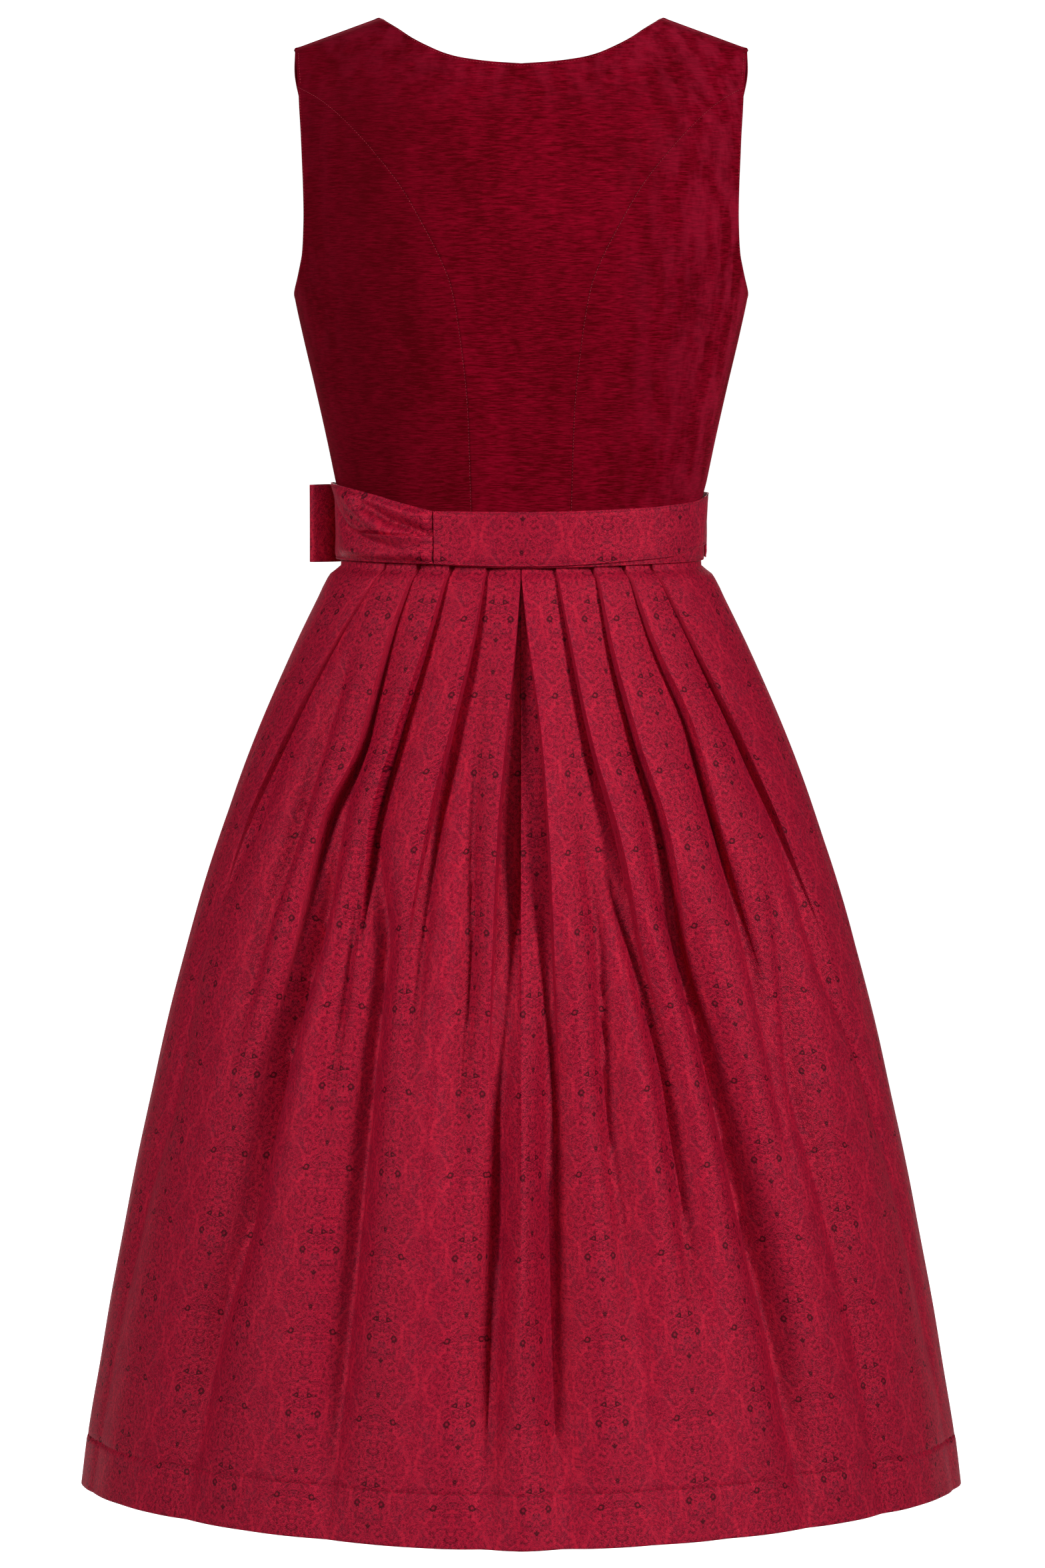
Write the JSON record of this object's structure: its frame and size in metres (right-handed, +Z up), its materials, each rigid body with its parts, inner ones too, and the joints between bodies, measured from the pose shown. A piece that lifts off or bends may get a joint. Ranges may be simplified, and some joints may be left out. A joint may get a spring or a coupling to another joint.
{
  "type": "dirndl",
  "caption": "Sleeveless midi dirndl in its worn, hollow form: panelled velvet bodice, pleated jacquard skirt, apron and a sash tied in a bow at the side.",
  "frame": {"origin": "midway between the two shoulder rests, on the shoulder line", "axes": "+Z up, the wearer faces -Y, +X is the wearer's left"},
  "size_m": [0.651, 0.5194, 1.0785],
  "materials": {
    "velvet": "cotton velvet with a short nap",
    "skirt_jacquard": "satin jacquard with small woven flowers",
    "apron_jacquard": "satin jacquard with small woven flowers",
    "buttons": "aged pewter look"
  },
  "bodies": {
    "root": {"back_centre": "velvet", "back_side_left": "velvet", "back_side_right": "velvet", "front_centre_left": "velvet", "front_centre_right": "velvet", "front_side_left": "velvet", "front_side_right": "velvet", "skirt_back": "skirt_jacquard", "skirt_front": "skirt_jacquard", "apron": "apron_jacquard", "apron_band": "apron_jacquard", "under_band": "apron_jacquard", "outer_band": "apron_jacquard", "left_tie": "apron_jacquard", "right_tie": "apron_jacquard", "bow_knot": "apron_jacquard", "bow_loop_side": "apron_jacquard", "bow_loop_front": "apron_jacquard", "tail_front": "apron_jacquard", "tail_side": "apron_jacquard", "button_1": "buttons", "button_2": "buttons", "button_3": "buttons", "button_4": "buttons", "button_5": "buttons", "button_6": "buttons"}
  },
  "joints": []
}
